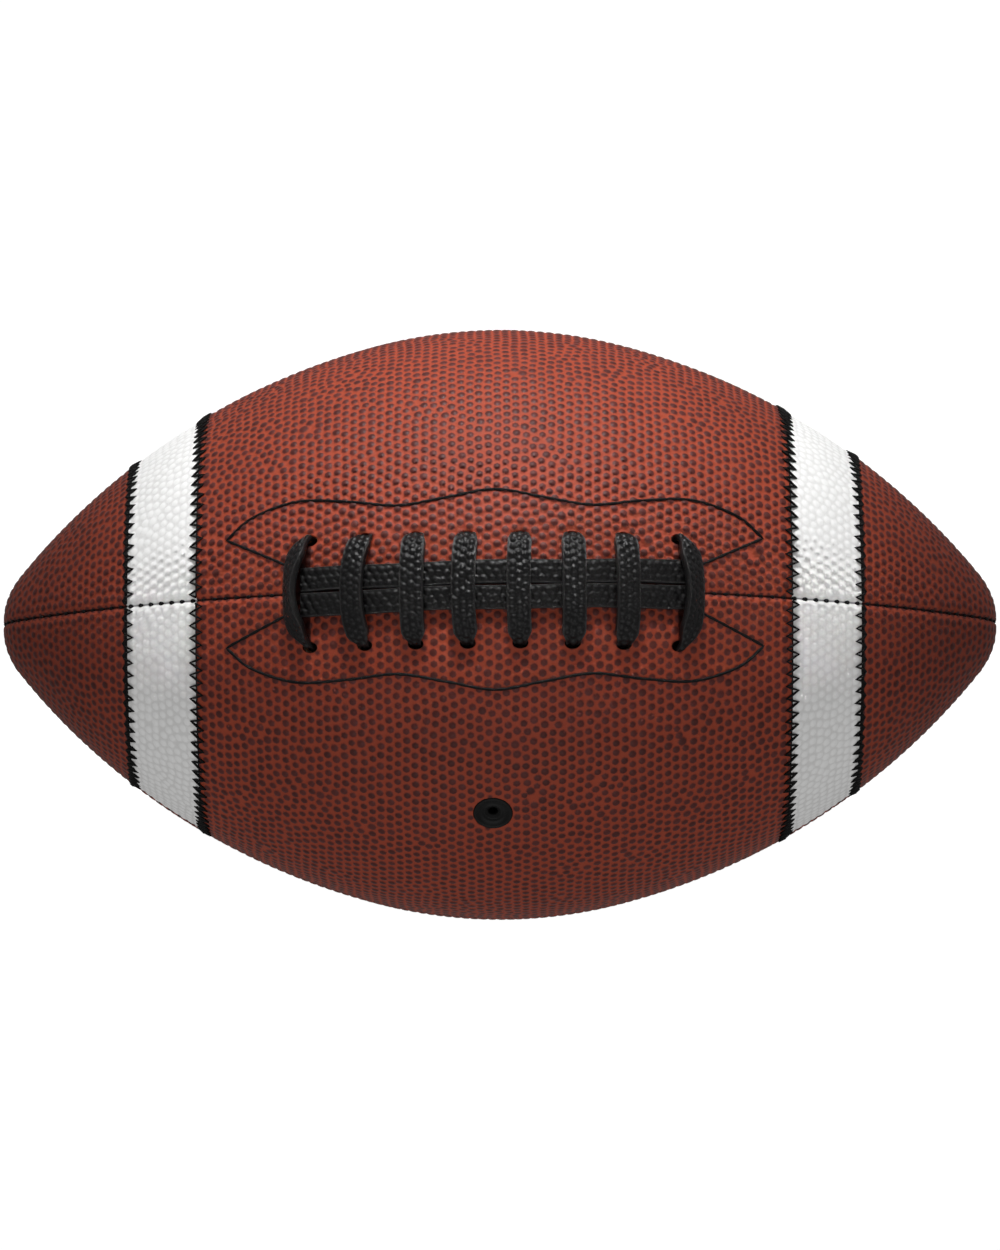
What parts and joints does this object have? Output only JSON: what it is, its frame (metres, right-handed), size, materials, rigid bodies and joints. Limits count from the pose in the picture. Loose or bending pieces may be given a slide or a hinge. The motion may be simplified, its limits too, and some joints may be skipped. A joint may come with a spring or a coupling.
{
  "type": "american football",
  "caption": "Prolate ball of sewn pebbled panels over a bladder, with raised lacing, a white stripe near each end and a needle valve, for throwing and kicking.",
  "frame": {"origin": "the ball's centre, on its long axis and midway between its tips", "axes": "+X along the long axis, +Z out through the lacing, -Y the front, on the side of the valve"},
  "size_m": [0.2448, 0.1452, 0.1499],
  "materials": {
    "panel_leather": "pebbled, satin",
    "white_stripe": "pebbled, satin",
    "black_lace": "pebbled, satin",
    "black_thread": "waxed thread",
    "lining_fabric": "woven, matte",
    "stay_leather": "plain, matte",
    "bladder_rubber": "smooth, matte",
    "valve_rubber": "moulded, satin"
  },
  "bodies": {
    "root": {"bladder": "bladder_rubber", "lace_cross": "black_lace", "lace_long": "black_lace", "lace_stay_front": "stay_leather", "lace_stay_rear": "stay_leather", "lining_lower_front": "lining_fabric", "lining_lower_rear": "lining_fabric", "lining_upper_front": "lining_fabric", "lining_upper_rear": "lining_fabric", "panel_lower_front": "panel_leather", "panel_lower_rear": "panel_leather", "panel_upper_front": "panel_leather", "panel_upper_rear": "panel_leather", "seam_thread_bottom": "black_thread", "seam_thread_front": "black_thread", "seam_thread_lace_left": "black_thread", "seam_thread_lace_right": "black_thread", "seam_thread_rear": "black_thread", "stay_thread_front": "black_thread", "stay_thread_rear": "black_thread", "stripe_front_left": "white_stripe", "stripe_front_right": "white_stripe", "stripe_rear_left": "white_stripe", "stripe_rear_right": "white_stripe", "stripe_thread_front_left_inner": "black_thread", "stripe_thread_front_left_outer": "black_thread", "stripe_thread_front_right_inner": "black_thread", "stripe_thread_front_right_outer": "black_thread", "stripe_thread_rear_left_inner": "black_thread", "stripe_thread_rear_left_outer": "black_thread", "stripe_thread_rear_right_inner": "black_thread", "stripe_thread_rear_right_outer": "black_thread", "valve_core": "valve_rubber", "valve_housing": "valve_rubber"}
  },
  "joints": []
}
